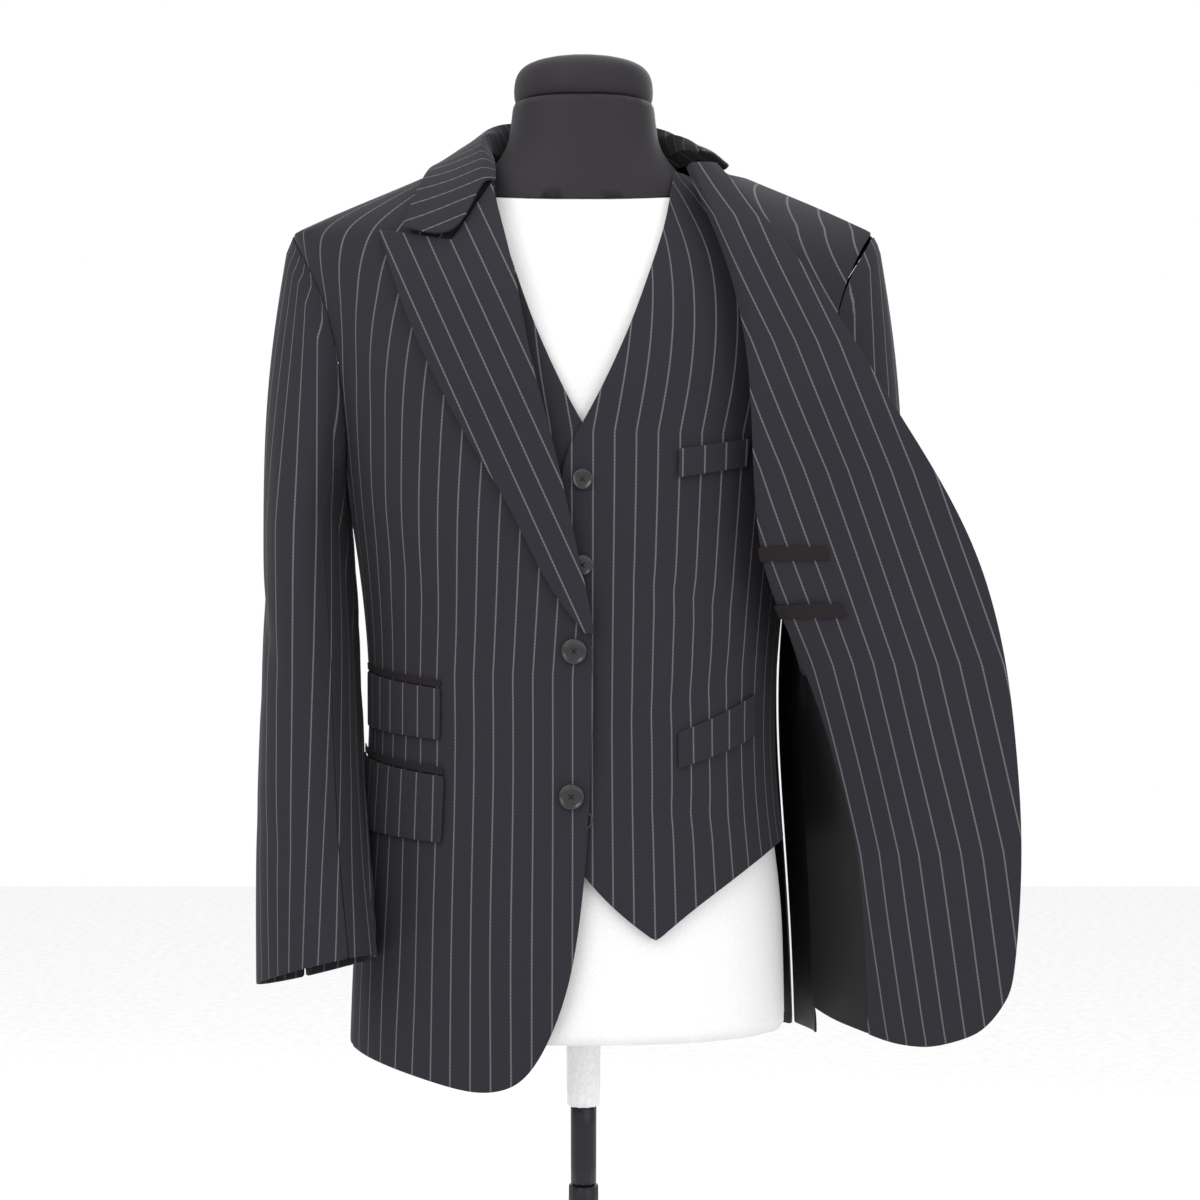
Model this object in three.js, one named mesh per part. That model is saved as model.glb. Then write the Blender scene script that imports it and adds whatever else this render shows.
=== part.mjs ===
// A striped three-piece suit, jacket and waistcoat, on a limbless dress form with a pole stand.
// Millimetres, +Z up. The wearer faces -Y, the wearer's left is +X, and the floor under the pole is the origin.
// Round the body an angle runs from the wearer's left side (0) through the front (90), the right side (180)
// and the back (270).
import * as THREE from "three";

// ---- Driving sizes ----
const JACKET_WALL = 2.0;
const WAISTCOAT_WALL = 1.4;
const SLEEVE_WALL = 1.6;
const LINING_WALL = 1.0;
const FLAP_WALL = 1.4;
const SEAM_INSET = 0.3; // each panel stops this far short of its seam line
const LAYER_GAP = 0.8; // air between cloth layers that lie on each other
const SQUARENESS = 2.3; // exponent of the body's rounded cross-sections
const FORM_TO_WAISTCOAT = 8.3;
const NECK_JOIN = { height: 1440, slope: 0.38 }; // the join is higher at the back
const CAP_HEIGHT = 1504;
const FORM_BASE = 754;
const POLE_SLEEVE = { radius: 14, bottom: 686 };
const POLE = { radius: 10.75, collarTop: 621, collarBottom: 571, collarRadius: 12.5 };
const BASE = { radius: 200, height: 8, bevel: 2 };
const CONTACT_GAP = 0.3;
const JACKET_BUTTON = { radius: 10, thickness: 3.2 };
const WAISTCOAT_BUTTON = { radius: 8, thickness: 2.4 };
const SIDE_SEAM_FRONT = 14; // degrees in front of the side
const SIDE_SEAM_BACK = 24; // degrees behind the side

const MATERIALS = {
  suiting: new THREE.MeshStandardMaterial({ color: 0x26262e, roughness: 0.85, metalness: 0 }),
  lining: new THREE.MeshStandardMaterial({ color: 0x0c0c0f, roughness: 0.5, metalness: 0 }),
  jet: new THREE.MeshStandardMaterial({ color: 0x1a0f14, roughness: 0.8, metalness: 0 }),
  button: new THREE.MeshStandardMaterial({ color: 0x08080a, roughness: 0.25, metalness: 0 }),
  white: new THREE.MeshStandardMaterial({ color: 0xeeecea, roughness: 0.8, metalness: 0 }),
  black: new THREE.MeshStandardMaterial({ color: 0x19171b, roughness: 0.6, metalness: 0 }),
};

const radians = (degrees) => (degrees * Math.PI) / 180;
const degrees = (angle) => (angle * 180) / Math.PI;
const mix = (a, b, t) => a + (b - a) * t;
const smoothStep = (t) => {
  const c = Math.min(1, Math.max(0, t));
  return c * c * (3 - 2 * c);
};

// A table with named columns, read at any value of its first column along a smooth curve with no overshoot.
class Table {
  constructor(columns, rows) {
    this.columns = columns;
    this.rows = [...rows].sort((a, b) => a[0] - b[0]);
  }

  at(column, where) {
    const c = this.columns.indexOf(column);
    const rows = this.rows;
    const last = rows.length - 1;
    if (where <= rows[0][0]) return rows[0][c];
    if (where >= rows[last][0]) return rows[last][c];
    let i = 0;
    while (rows[i + 1][0] < where) i += 1;
    const slope = (k) => (rows[k + 1][c] - rows[k][c]) / (rows[k + 1][0] - rows[k][0]);
    const tangent = (k) => {
      if (k === 0) return slope(0);
      if (k === last) return slope(last - 1);
      const [a, b] = [slope(k - 1), slope(k)];
      return a * b <= 0 ? 0 : (2 * a * b) / (a + b);
    };
    const span = rows[i + 1][0] - rows[i][0];
    const t = (where - rows[i][0]) / span;
    return (
      (2 * t ** 3 - 3 * t ** 2 + 1) * rows[i][c] +
      (t ** 3 - 2 * t ** 2 + t) * span * tangent(i) +
      (-2 * t ** 3 + 3 * t ** 2) * rows[i + 1][c] +
      (t ** 3 - t ** 2) * span * tangent(i + 1)
    );
  }
}

// ---- Body sections: half width, depth in front and depth behind, at each height ----
const SECTION_COLUMNS = ["z", "half", "front", "back"];
const FORM = new Table(SECTION_COLUMNS, [
  [754, 165, 108, 104],
  [850, 163, 107, 106],
  [950, 150, 103, 92],
  [1000, 148, 102, 88],
  [1100, 155, 106, 90],
  [1200, 168, 112, 100],
  [1260, 176, 112, 106],
  [1320, 182, 102, 104],
  [1360, 184, 88, 94],
  [1385, 172, 76, 80],
  [1405, 146, 66, 70],
  [1425, 110, 60, 64],
  [1440, 84, 58, 60],
  [1465, 63, 56, 57],
  [1504, 58, 56, 56],
]);
const JACKET = new Table(SECTION_COLUMNS, [
  [715, 191, 120, 122],
  [742, 191, 120, 122],
  [850, 186, 119, 120],
  [950, 178, 117, 107],
  [1020, 174, 117, 102],
  [1100, 180, 121, 106],
  [1180, 192, 127, 118],
  [1256, 203, 127, 124],
  [1320, 214, 119, 122],
  [1360, 226, 106, 114],
  [1398, 238, 87, 101],
  [1412, 208, 80, 93],
  [1433, 156, 72, 82],
  [1449, 119, 64, 72],
  [1465, 88, 56, 63],
]);

// A closed body surface read from a table of sections, grown outwards by some distance.
class Body {
  constructor(sections, grow) {
    this.sections = sections;
    this.grow = grow;
  }

  size(column, z) {
    return this.sections.at(column, z) + this.grow;
  }

  point(angle, z) {
    const [c, s] = [Math.cos(radians(angle)), Math.sin(radians(angle))];
    const bow = (v) => Math.sign(v) * Math.abs(v) ** (2 / SQUARENESS);
    const depth = this.size(s >= 0 ? "front" : "back", z);
    return new THREE.Vector3(this.size("half", z) * bow(c), -depth * bow(s), z);
  }

  normal(angle, z) {
    const round = this.point(angle + 1, z).sub(this.point(angle - 1, z));
    const up = this.point(angle, z + 2).sub(this.point(angle, z - 2));
    return round.cross(up).normalize().negate();
  }

  // The angle, in front, at a distance x from the middle.
  angleAt(x, z) {
    const share = Math.min(1, Math.abs(x) / this.size("half", z));
    const c = share ** (SQUARENESS / 2);
    return degrees(Math.acos(x < 0 ? -c : c));
  }

  // How far round from the side, in degrees, a point lies that is y in front of it or behind it.
  sideAngle(y, z) {
    const depth = this.size(y <= 0 ? "front" : "back", z);
    return degrees(Math.asin(Math.min(1, Math.abs(y) / depth) ** (SQUARENESS / 2)));
  }
}
const FORM_BODY = new Body(FORM, 0);
const WAISTCOAT_BODY = new Body(FORM, FORM_TO_WAISTCOAT);
const JACKET_BODY = new Body(JACKET, 0);

// ---- Solids ----
function solid(name, vertices, faces, material) {
  const geometry = new THREE.BufferGeometry();
  geometry.setAttribute("position", new THREE.Float32BufferAttribute(vertices.flatMap((v) => v.toArray()), 3));
  geometry.setIndex(faces.flat());
  geometry.computeVertexNormals();
  const mesh = new THREE.Mesh(geometry, material);
  mesh.name = name;
  return mesh;
}

// The normals of a grid of points, from its neighbours.
function gridNormals(grid) {
  return grid.map((row, i) =>
    row.map((_, j) => {
      const across = row[Math.min(j + 1, row.length - 1)].clone().sub(row[Math.max(j - 1, 0)]);
      const up = grid[Math.min(i + 1, grid.length - 1)][j].clone().sub(grid[Math.max(i - 1, 0)][j]);
      return across.cross(up).normalize();
    }),
  );
}

// A grid pulled in from its four borders, so that it stops short of its seams.
function inset(grid, distance) {
  const pull = (p, q) => p.clone().add(q.clone().sub(p).setLength(distance));
  const rows = grid.map((row) => {
    const out = row.map((p) => p.clone());
    out[0] = pull(row[0], row[1]);
    out[row.length - 1] = pull(row[row.length - 1], row[row.length - 2]);
    return out;
  });
  const last = rows.length - 1;
  const [first, top] = [rows[0].map((p, j) => pull(p, rows[1][j])), rows[last].map((p, j) => pull(p, rows[last - 1][j]))];
  rows[0] = first;
  rows[last] = top;
  return rows;
}

// A wall of cloth: the grid moved out along its normals is one face, and the grid moved in is the other.
function wall(name, grid, normals, outer, inner, material) {
  const rows = grid.length;
  const columns = grid[0].length;
  const shift = (distance) => grid.flatMap((row, i) => row.map((p, j) => p.clone().addScaledVector(normals[i][j], distance)));
  const vertices = [...shift(outer), ...shift(inner)];
  const count = rows * columns;
  const at = (i, j, side) => side * count + i * columns + j;
  const faces = [];
  const quad = (a, b, c, d) => faces.push([a, b, c], [a, c, d]);
  for (let i = 0; i < rows - 1; i += 1) {
    for (let j = 0; j < columns - 1; j += 1) {
      quad(at(i, j, 0), at(i, j + 1, 0), at(i + 1, j + 1, 0), at(i + 1, j, 0));
      quad(at(i, j, 1), at(i + 1, j, 1), at(i + 1, j + 1, 1), at(i, j + 1, 1));
    }
  }
  for (let j = 0; j < columns - 1; j += 1) {
    quad(at(0, j, 1), at(0, j + 1, 1), at(0, j + 1, 0), at(0, j, 0));
    quad(at(rows - 1, j, 0), at(rows - 1, j + 1, 0), at(rows - 1, j + 1, 1), at(rows - 1, j, 1));
  }
  for (let i = 0; i < rows - 1; i += 1) {
    quad(at(i, 0, 0), at(i + 1, 0, 0), at(i + 1, 0, 1), at(i, 0, 1));
    quad(at(i, columns - 1, 1), at(i + 1, columns - 1, 1), at(i + 1, columns - 1, 0), at(i, columns - 1, 0));
  }
  return solid(name, vertices, faces, material);
}

// A panel that lies on a body: rows of angles and heights. It is laid so that its normals point out.
function bodyPanel(name, body, places, thickness, material) {
  const grid = places.map((row) => row.map(([angle, z]) => body.point(angle, z)));
  let normals = places.map((row) => row.map(([angle, z]) => body.normal(angle, z)));
  const rising = places[0][0][0] < places[0][places[0].length - 1][0];
  const turn = (rows) => rows.map((row) => [...row].reverse());
  const ordered = rising ? turn(grid) : grid;
  normals = rising ? turn(normals) : normals;
  return wall(name, inset(ordered, SEAM_INSET), normals, 0, -thickness, material);
}

// A closed solid of rings stacked upwards, each a list of points that runs the same way round.
function stack(name, rings, material) {
  const count = rings[0].length;
  const centre = (ring) => ring.reduce((sum, p) => sum.add(p), new THREE.Vector3()).divideScalar(count);
  const vertices = [...rings.flat(), centre(rings[0]), centre(rings[rings.length - 1])];
  const [bottom, top] = [rings.length * count, rings.length * count + 1];
  const faces = [];
  for (let j = 0; j < count; j += 1) {
    const k = (j + 1) % count;
    for (let i = 0; i < rings.length - 1; i += 1) {
      const [a, b] = [i * count, (i + 1) * count];
      faces.push([a + j, b + k, a + k], [a + j, b + j, b + k]);
    }
    const high = (rings.length - 1) * count;
    faces.push([bottom, j, k], [top, high + k, high + j]);
  }
  return solid(name, vertices, faces, material);
}

// A smooth row of points through a few stations, divided evenly.
function smoothRow(stations, count) {
  return new THREE.CatmullRomCurve3(stations, false, "centripetal").getSpacedPoints(count - 1);
}

const steps = (count) => Array.from({ length: count }, (_, k) => k / (count - 1));

// ---- Dress form and stand ----
const RING_SIDES = 36;

function formRing(z, slope) {
  return Array.from({ length: RING_SIDES }, (_, k) => {
    const angle = (360 * k) / RING_SIDES;
    const level = FORM_BODY.point(angle, z);
    return FORM_BODY.point(angle, z + slope * level.y);
  });
}

function makeForm() {
  const join = NECK_JOIN;
  const torso = [FORM_BASE, 800, 850, 900, 950, 1000, 1050, 1100, 1150, 1200, 1260, 1320, 1360, 1385].map((z) => formRing(z, 0));
  torso.push(formRing(1405, join.slope * 0.3), formRing(1424, join.slope * 0.7), formRing(join.height - CONTACT_GAP, join.slope));
  const neck = [formRing(join.height + CONTACT_GAP, join.slope), formRing(1465, join.slope * 0.5)];
  neck.push(formRing(1485, 0), formRing(CAP_HEIGHT - CONTACT_GAP, 0));
  const capProfile = [
    [0, 0],
    [54, 0],
    [57, 4],
    [57.5, 14],
    [56, 24],
    [50, 32],
    [34, 36],
    [0, 37.5],
  ];
  const cap = lathe("form_neck_cap", capProfile, CAP_HEIGHT, MATERIALS.black, RING_SIDES);
  return [stack("form_torso", torso, MATERIALS.white), stack("form_neck", neck, MATERIALS.black), cap];
}

// A turned piece that stands upright: its profile is radius and height.
function lathe(name, profile, z, material, sides) {
  const points = profile.map(([radius, height]) => new THREE.Vector2(radius, height));
  const mesh = new THREE.Mesh(new THREE.LatheGeometry(points, sides).rotateX(Math.PI / 2), material);
  mesh.name = name;
  mesh.position.z = z;
  return mesh;
}

function rod(name, radius, bottom, top, material) {
  const length = top - bottom;
  return lathe(name, [[0, 0], [radius, 0], [radius, length], [0, length]], bottom, material, 24);
}

function makeStand() {
  const plate = [[0, 0], [BASE.radius, 0], [BASE.radius, BASE.height - BASE.bevel]];
  plate.push([BASE.radius - BASE.bevel, BASE.height], [0, BASE.height]);
  return [
    rod("pole_sleeve", POLE_SLEEVE.radius, POLE_SLEEVE.bottom, FORM_BASE - CONTACT_GAP, MATERIALS.white),
    rod("pole_upper", POLE.radius, POLE.collarTop + CONTACT_GAP, POLE_SLEEVE.bottom - CONTACT_GAP, MATERIALS.black),
    rod("pole_collar", POLE.collarRadius, POLE.collarBottom, POLE.collarTop, MATERIALS.black),
    rod("pole_lower", POLE.radius, BASE.height + CONTACT_GAP, POLE.collarBottom - CONTACT_GAP, MATERIALS.black),
    lathe("stand_base", plate, 0, MATERIALS.black, 64),
  ];
}

// ---- Waistcoat ----
const NECKLINE = new Table(["z", "x"], [
  [1236, 0],
  [1270, 18],
  [1318, 39],
  [1360, 53],
  [1395, 64],
  [1431, 71],
  [1444, 73],
]);
const WAISTCOAT_HEM = new Table(["x", "z"], [
  [-19, 909],
  [3.5, 885],
  [16, 871],
  [38, 830],
  [42, 827],
  [47, 830],
  [71, 851],
  [110, 878],
  [143, 898],
  [160, 906],
  [180, 908],
]);
const WAISTCOAT_EDGE = { x: -19, top: 1206, hem: 909 };
const WAISTCOAT_ARMHOLE = new Table(["z", "y"], [
  [1228, 0],
  [1245, 34],
  [1290, 52],
  [1340, 48],
  [1385, 34],
  [1405, 14],
  [1412, 0],
]);
const WAISTCOAT_LEVELS = [909, 940, 985, 1035, 1085, 1140, 1206, 1236, 1275, 1320, 1360, 1385, 1405, 1425, 1444];

// One side's half of the waistcoat: side is +1 on the wearer's left. The left front laps over the right one.
function waistcoatFront(side) {
  const body = side > 0 ? WAISTCOAT_BODY : new Body(FORM, FORM_TO_WAISTCOAT - WAISTCOAT_WALL - LAYER_GAP);
  const places = WAISTCOAT_LEVELS.map((level) => {
    const lap = mix(WAISTCOAT_EDGE.x, 0, smoothStep((level - WAISTCOAT_EDGE.top) / (1236 - WAISTCOAT_EDGE.top)));
    const edge = level <= 1236 ? lap : NECKLINE.at("x", level);
    const start = body.angleAt(edge, level);
    const end = level < 1228 ? 0 : body.sideAngle(-WAISTCOAT_ARMHOLE.at("y", level), level);
    return steps(10).map((t) => {
      const angle = mix(start, level > 1412 ? 0 : end, t);
      const x = body.point(angle, level).x;
      const fade = 1 - smoothStep((level - 909) / 230);
      return [angle, level + (WAISTCOAT_HEM.at("z", x) - 909) * fade];
    });
  });
  const turned = side > 0 ? places : places.map((row) => row.map(([angle, z]) => [180 - angle, z]));
  return bodyPanel(side > 0 ? "waistcoat_front_left" : "waistcoat_front_right", body, turned, WAISTCOAT_WALL, MATERIALS.suiting);
}

function waistcoatBack(side) {
  const places = WAISTCOAT_LEVELS.map((level) => {
    const start = level < 1228 || level > 1412 ? 0 : WAISTCOAT_BODY.sideAngle(WAISTCOAT_ARMHOLE.at("y", level), level);
    return steps(8).map((t) => {
      const angle = mix(-start, -90, t);
      return [side > 0 ? angle : 180 - angle, level];
    });
  });
  const name = side > 0 ? "waistcoat_back_left" : "waistcoat_back_right";
  return bodyPanel(name, WAISTCOAT_BODY, places, WAISTCOAT_WALL, MATERIALS.lining);
}

// A small piece that lies on a body, between two ends given as an angle, a top and a bottom height.
function patch(name, body, ends, lift, thickness, columns, rows, material) {
  const places = steps(rows).map((v) =>
    steps(columns).map((u) => {
      const angle = mix(ends[0].angle, ends[1].angle, u);
      return [angle, mix(mix(ends[0].bottom, ends[1].bottom, u), mix(ends[0].top, ends[1].top, u), v)];
    }),
  );
  const raised = new Body(body.sections, body.grow + lift + thickness);
  return bodyPanel(name, raised, places, thickness, material);
}

const end = (body, x, top, bottom) => ({ angle: body.angleAt(x, (top + bottom) / 2), top, bottom });

function makeWaistcoatTrim() {
  const body = WAISTCOAT_BODY;
  const welts = [
    patch("waistcoat_chest_welt", body, [end(body, 73, 1217, 1194), end(body, 128, 1226, 1204)], 1.6, 1.2, 6, 2, MATERIALS.suiting),
    patch("waistcoat_hip_welt", body, [end(body, 73, 997, 969), end(body, 134, 1026, 992)], 1.6, 1.2, 7, 3, MATERIALS.suiting),
  ];
  const heights = [1193, 1127, 1061, 996, 930];
  const buttons = heights.map((z, k) => button("waistcoat_button_" + (k + 1), WAISTCOAT_BUTTON, body, 0, z, 0.3));
  return [...welts, ...buttons];
}

// A round button with a raised rim, set on a body with its face out.
function button(name, size, body, x, z, lift) {
  const { radius, thickness } = size;
  const profile = [[0, 0], [radius * 0.8, 0], [radius, thickness * 0.4], [radius, thickness * 0.8]];
  profile.push([radius * 0.9, thickness], [radius * 0.72, thickness * 0.72], [0, thickness * 0.68]);
  const mesh = lathe(name, profile, 0, MATERIALS.button, 24);
  const angle = body.angleAt(x, z);
  const normal = body.normal(angle, z);
  mesh.position.copy(body.point(angle, z)).addScaledVector(normal, lift);
  mesh.quaternion.setFromUnitVectors(new THREE.Vector3(0, 0, 1), normal);
  return mesh;
}

// ---- Jacket body ----
const JACKET_LEVELS = [742, 800, 860, 920, 985, 1050, 1115, 1165, 1214, 1256, 1300, 1345, 1380, 1398, 1415, 1433, 1449, 1462];
const HEM_LEVEL = 742;
const FRONT_EDGE = new Table(["z", "x"], [
  [732, -38],
  [755, -24],
  [776, -17],
  [805, -9.6],
  [840, -3.4],
  [882, 2],
  [923, 5],
  [1011, 8],
  [1071, 9.7],
  [1108, 3.5],
  [1144, -5],
  [1178, -12],
  [1240, -27],
  [1283, -39],
  [1353, -52],
  [1396, -63],
  [1435, -73],
  [1463, -78.5],
]);
const FRONT_HEM = new Table(["x", "z"], [
  [-191, 742.5],
  [-178, 739],
  [-156, 734],
  [-125, 727],
  [-95, 720.5],
  [-79, 718],
  [-60, 720],
  [-45, 727],
  [-38, 732],
]);
const ARMHOLE = new Table(["z", "front", "back"], [
  [1196, 0, 0],
  [1206, 26, 32],
  [1225, 43, 52],
  [1256, 52, 61],
  [1300, 53, 62],
  [1345, 44, 52],
  [1380, 26, 30],
  [1398, 0, 0],
]);
const SIDE_TOP = { front: 1214, middle: 1197, back: 1228 };

// How far round from the side the front panel reaches at a height.
function frontReach(z) {
  if (z >= 1398) return 0;
  if (z >= SIDE_TOP.front) return JACKET_BODY.sideAngle(-ARMHOLE.at("front", z), z);
  return SIDE_SEAM_FRONT;
}

function backReach(z) {
  if (z >= 1398) return 0;
  if (z >= SIDE_TOP.back) return JACKET_BODY.sideAngle(ARMHOLE.at("back", z), z);
  return SIDE_SEAM_BACK;
}

function jacketFrontRight() {
  const places = JACKET_LEVELS.map((level) => {
    const start = JACKET_BODY.angleAt(FRONT_EDGE.at("x", Math.max(level, 732)), level);
    const low = level === HEM_LEVEL ? JACKET_BODY.angleAt(-38, 732) : start;
    const finish = 180 - frontReach(level);
    const fade = 1 - smoothStep((level - HEM_LEVEL) / 180);
    return steps(10).map((t) => {
      const angle = mix(low, finish, t);
      const x = JACKET_BODY.point(angle, level).x;
      return [angle, level + (FRONT_HEM.at("z", x) - HEM_LEVEL) * fade];
    });
  });
  return bodyPanel("jacket_front_right", JACKET_BODY, places, JACKET_WALL, MATERIALS.suiting);
}

function jacketSideRight() {
  const levels = JACKET_LEVELS.filter((z) => z <= SIDE_TOP.front);
  const places = levels.map((level, i) =>
    steps(6).map((t) => {
      const top = i === levels.length - 1;
      const angle = mix(180 - frontReach(level), 180 + backReach(top ? SIDE_TOP.back : level), t);
      const dip = mix(mix(SIDE_TOP.front, SIDE_TOP.back, t), SIDE_TOP.middle, Math.sin(Math.PI * t) ** 0.8);
      return [angle, top ? dip : level];
    }),
  );
  return bodyPanel("jacket_side_right", JACKET_BODY, places, JACKET_WALL, MATERIALS.suiting);
}

function jacketBack(side) {
  const levels = JACKET_LEVELS.map((z) => (z === SIDE_TOP.front ? SIDE_TOP.back : z));
  const places = levels.map((level) => steps(8).map((t) => {
    const angle = mix(180 + backReach(level), 270, t);
    return [side > 0 ? 540 - angle : angle, level];
  }));
  const name = side > 0 ? "jacket_back_left" : "jacket_back_right";
  return bodyPanel(name, JACKET_BODY, places, JACKET_WALL, MATERIALS.suiting);
}

// ---- Right lapel: turned back on the chest from the roll line ----
const LAPEL_EDGE = new Table(["z", "x"], [
  [1074, 2],
  [1094, -16],
  [1118, -30],
  [1158, -50],
  [1177, -58],
  [1202, -76],
  [1233, -94],
  [1277, -117],
  [1323, -138],
  [1353, -149],
  [1392, -161],
]);
const GORGE = [[-74, 1430], [-86, 1411], [-103, 1381], [-142, 1388.5], [-161, 1392]];
const LAPEL_LIFT = 3;

function gorgePoint(t) {
  const scaled = t * (GORGE.length - 1);
  const i = Math.min(GORGE.length - 2, Math.floor(scaled));
  return [mix(GORGE[i][0], GORGE[i + 1][0], scaled - i), mix(GORGE[i][1], GORGE[i + 1][1], scaled - i)];
}

// Rows of the lapel in front view: from the roll line across to the outer edge, and up to the gorge.
function lapelRows(rows, columns) {
  return steps(rows).map((v) => {
    const inner = mix(1074, 1430, v);
    const outer = mix(1074, 1392, v);
    return steps(columns).map((u) => {
      const z = mix(inner, outer, u);
      const x = mix(FRONT_EDGE.at("x", inner), LAPEL_EDGE.at("x", outer), u);
      const [gx, gz] = gorgePoint(u);
      const straight = [mix(-74, -161, u), mix(1430, 1392, u)];
      const pull = smoothStep((v - 0.6) / 0.4);
      return [x + (gx - straight[0]) * pull, z + (gz - straight[1]) * pull];
    });
  });
}

function lapelRight() {
  const raised = new Body(JACKET, LAPEL_LIFT + JACKET_WALL);
  const places = lapelRows(12, 7).map((row) => row.map(([x, z]) => [raised.angleAt(x, z), z]));
  return bodyPanel("jacket_lapel_right", raised, places, JACKET_WALL, MATERIALS.suiting);
}

// ---- Collar: a stand that rises from the neck seam, folds over and falls on the shoulders ----
const COLLAR = [
  { foot: [-69, -72, 1431], fold: [-75, -75, 1434], middle: [-103, -97, 1386], edge: [-141, -86, 1392] },
  { foot: [-70, -52, 1449], fold: [-78, -62, 1452], middle: [-103, -76, 1426], edge: [-129, -64, 1431] },
  { foot: [-76, -24, 1464], fold: [-81, -28, 1475], middle: [-101, -30, 1462], edge: [-121, -26, 1452] },
  { foot: [-74, 5, 1465], fold: [-77, 5, 1489], middle: [-99, 12, 1471], edge: [-115, 18, 1456] },
  { foot: [-62, 38, 1468], fold: [-64, 40, 1499], middle: [-83, 55, 1480], edge: [-93, 64, 1461] },
  { foot: [-34, 58, 1469], fold: [-34, 62, 1505], middle: [-43, 79, 1486], edge: [-50, 88, 1463] },
  { foot: [0, 63, 1470], fold: [0, 67, 1507], middle: [0, 86, 1488], edge: [0, 96, 1464] },
];

// Past the left shoulder the collar is pulled back with the open front.
const COLLAR_LEFT = [
  { foot: [34, 58, 1469], fold: [34, 62, 1504], middle: [43, 79, 1486], edge: [50, 88, 1463] },
  { foot: [62, 38, 1468], fold: [63, 41, 1496], middle: [80, 55, 1479], edge: [92, 64, 1461] },
  { foot: [74, 8, 1466], fold: [75, 9, 1485], middle: [97, 15, 1471], edge: [115, 20, 1456] },
  { foot: [83, -18, 1466], fold: [86, -20, 1474], middle: [102, -17, 1466], edge: [119, -10, 1454] },
  { foot: [91, -31, 1461], fold: [94, -35, 1465], middle: [103, -34, 1460], edge: [113, -30, 1453] },
];

function makeCollar() {
  const sections = [...COLLAR, ...COLLAR_LEFT].map((s) => {
    const [foot, fold, middle, edge] = [s.foot, s.fold, s.middle, s.edge].map((p) => new THREE.Vector3(...p));
    const out = middle.clone().sub(foot).setZ(0).normalize();
    const inner = fold.clone().addScaledVector(out, -1.5).setZ(fold.z - 5);
    const outer = fold.clone().addScaledVector(out, 4.5).setZ(fold.z - 5);
    return smoothRow([foot, inner, fold, outer, middle, edge], 9);
  });
  const along = steps(18).map((t) => steps(9).map((_, j) => {
    const path = new THREE.CatmullRomCurve3(sections.map((s) => s[j]), false, "centripetal");
    return path.getPoint(t);
  }));
  return wall("jacket_collar", along, gridNormals(along), 1.0, -1.0, MATERIALS.suiting);
}

// ---- Left front, swung open: each row runs from its seam forward to a crease, then out to the front edge ----
const OPEN_FRONT_COLUMNS = ["z", "rootX", "rootY", "creaseX", "creaseY", "midX", "midY", "edgeX", "edgeY"];
const OPEN_FRONT = new Table(OPEN_FRONT_COLUMNS, [
  [785, 190, 3, 230, -41, 280, -57, 338, -60],
  [800, 190, 3, 229, -45, 280, -61, 342, -60],
  [900, 184, -8, 222, -60, 280, -72, 348, -62],
  [1000, 178, -20, 194, -68, 255, -82, 341, -65],
  [1060, 178, -30, 172, -78, 232, -90, 333, -68],
  [1131, 180, -43, 139, -112, 205, -96, 313, -75],
  [1200, 190, -50, 134, -122, 195, -108, 275, -90],
  [1264, 192, -60, 132, -124, 182, -112, 233, -95],
  [1320, 200, -52, 126, -118, 165, -110, 199, -98],
  [1370, 215, -40, 112, -106, 140, -103, 163, -92],
  [1400, 236, -4, 101, -92, 122, -92, 140, -86],
  [1425, 180, -2, 92, -76, 108, -78, 120, -73],
  [1445, 132, -2, 85, -60, 96, -62, 105, -56],
]);
const OPEN_LEVELS = [785, 800, 860, 920, 985, 1050, 1115, 1165, 1214, 1256, 1300, 1345, 1380, 1400, 1420, 1436, 1445];
const OPEN_HEM = new Table(["x", "z"], [
  [169, 779],
  [187, 768],
  [203, 760],
  [226, 754],
  [250, 747],
  [271, 745],
  [299, 751],
  [318, 759],
  [338, 785],
]);
// Columns of the open front's grid. The crease, which is the facing's inner edge, is one of them.
const OPEN_COLUMNS = { root: 0, crease: 5, lapel: 11, edge: 15 };
const LINING_TOP = 1050;

function openRow(level) {
  const at = (column) => OPEN_FRONT.at(column, level);
  const stations = ["root", "crease", "mid", "edge"].map((s) => new THREE.Vector3(at(s + "X"), at(s + "Y"), level));
  const curve = new THREE.CatmullRomCurve3(stations, false, "centripetal");
  const fade = 1 - smoothStep((level - 785) / 200);
  return steps(OPEN_COLUMNS.edge + 1).map((t) => {
    const p = curve.getPoint(t);
    return p.setZ(level + (OPEN_HEM.at("z", p.x) - 785) * fade);
  });
}

const OPEN_GRID = OPEN_LEVELS.map(openRow);
const OPEN_NORMALS = gridNormals(OPEN_GRID);

// A part of the open front between two of its columns and two heights, which follows its own grid.
function openPart(fromColumn, toColumn, bottom, top) {
  const heights = [bottom, ...OPEN_LEVELS.filter((z) => z > bottom && z < top), top];
  const between = (grid, z) => {
    const i = Math.min(OPEN_LEVELS.length - 2, OPEN_LEVELS.filter((level) => level <= z).length - 1);
    const t = (z - OPEN_LEVELS[i]) / (OPEN_LEVELS[i + 1] - OPEN_LEVELS[i]);
    return grid[i].slice(fromColumn, toColumn + 1).map((p, j) => p.clone().lerp(grid[i + 1][fromColumn + j], t));
  };
  const grid = heights.map((z) => between(OPEN_GRID, z));
  const normals = heights.map((z) => between(OPEN_NORMALS, z).map((n) => n.normalize()));
  return { grid, normals };
}

// A wall on one side of the open front, between two distances from it.
function openWall(name, part, outer, inner, material) {
  return wall(name, inset(part.grid, SEAM_INSET), part.normals, outer, inner, material);
}

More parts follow.
